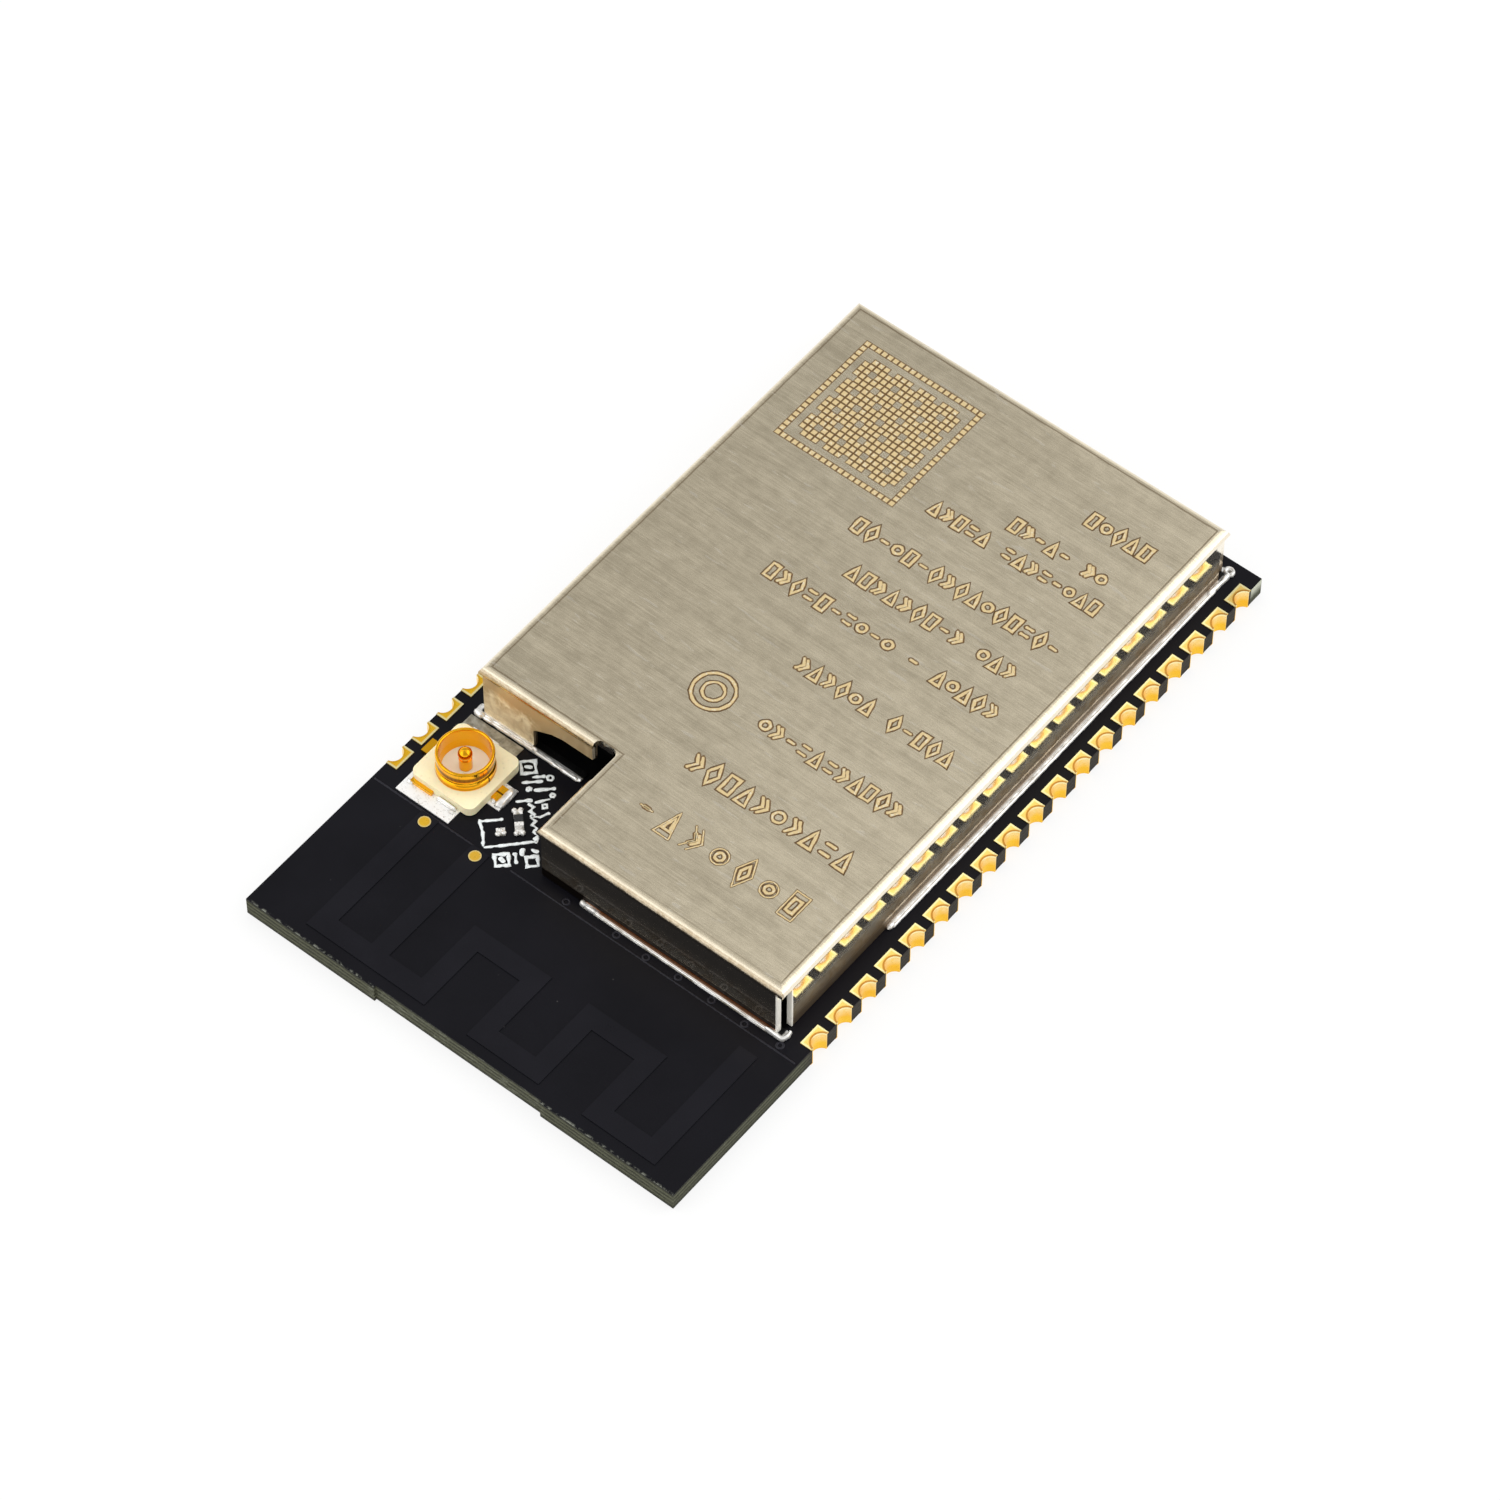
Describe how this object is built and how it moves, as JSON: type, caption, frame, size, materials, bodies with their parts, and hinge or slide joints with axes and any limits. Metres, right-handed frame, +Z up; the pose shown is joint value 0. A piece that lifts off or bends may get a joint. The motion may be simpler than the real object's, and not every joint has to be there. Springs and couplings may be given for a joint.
{
  "type": "wifi module",
  "caption": "Surface-mount radio module: castellated board with printed antenna, notched folded metal shield and a micro coax socket.",
  "frame": {"origin": "centre of the board's outline on the plane that the module is soldered to, which is the lower face of its bottom lands", "axes": "+Z up out of the shield's top, +Y along the board away from the antenna end, +X across the board towards the pad row opposite the coax socket"},
  "size_m": [0.018, 0.0314, 0.0033],
  "materials": {
    "solder_mask": "black solder mask over glass-fibre laminate",
    "gold_plating": "immersion gold over copper",
    "shield_sheet": "brushed nickel-silver sheet",
    "tinned_copper": "tinned",
    "solder": "bright solder",
    "cream_plastic": "cream moulded",
    "contact_gold": "gold-plated contact",
    "resistor_black": "black glaze",
    "moulding_black": "moulding compound",
    "dark_ceramic": "dark ceramic",
    "tan_ceramic": "fired ceramic"
  },
  "bodies": {
    "root": {"board": "solder_mask", "pads_left": "gold_plating", "pads_right": "gold_plating", "ground_pad": "gold_plating", "test_points": "gold_plating", "antenna_trace": "solder_mask", "shield": "shield_sheet", "shield_lands": "tinned_copper", "shield_solder": "solder", "connector_lands": "tinned_copper", "connector_housing": "cream_plastic", "connector_shell": "contact_gold", "connector_pin": "contact_gold", "link_lands": "tinned_copper", "link_resistor": "resistor_black", "link_ends": "solder", "radio_chip": "moulding_black", "radio_chip_contacts": "tinned_copper", "flash_chip": "moulding_black", "flash_leads": "tinned_copper", "memory_chip": "moulding_black", "memory_leads": "tinned_copper", "crystal_base": "dark_ceramic", "crystal_lid": "shield_sheet", "capacitor_bodies": "tan_ceramic", "capacitor_ends": "solder", "resistor_bodies": "resistor_black", "resistor_ends": "solder", "inductor_bodies": "dark_ceramic", "inductor_ends": "solder", "inner_lands": "tinned_copper"}
  },
  "joints": []
}
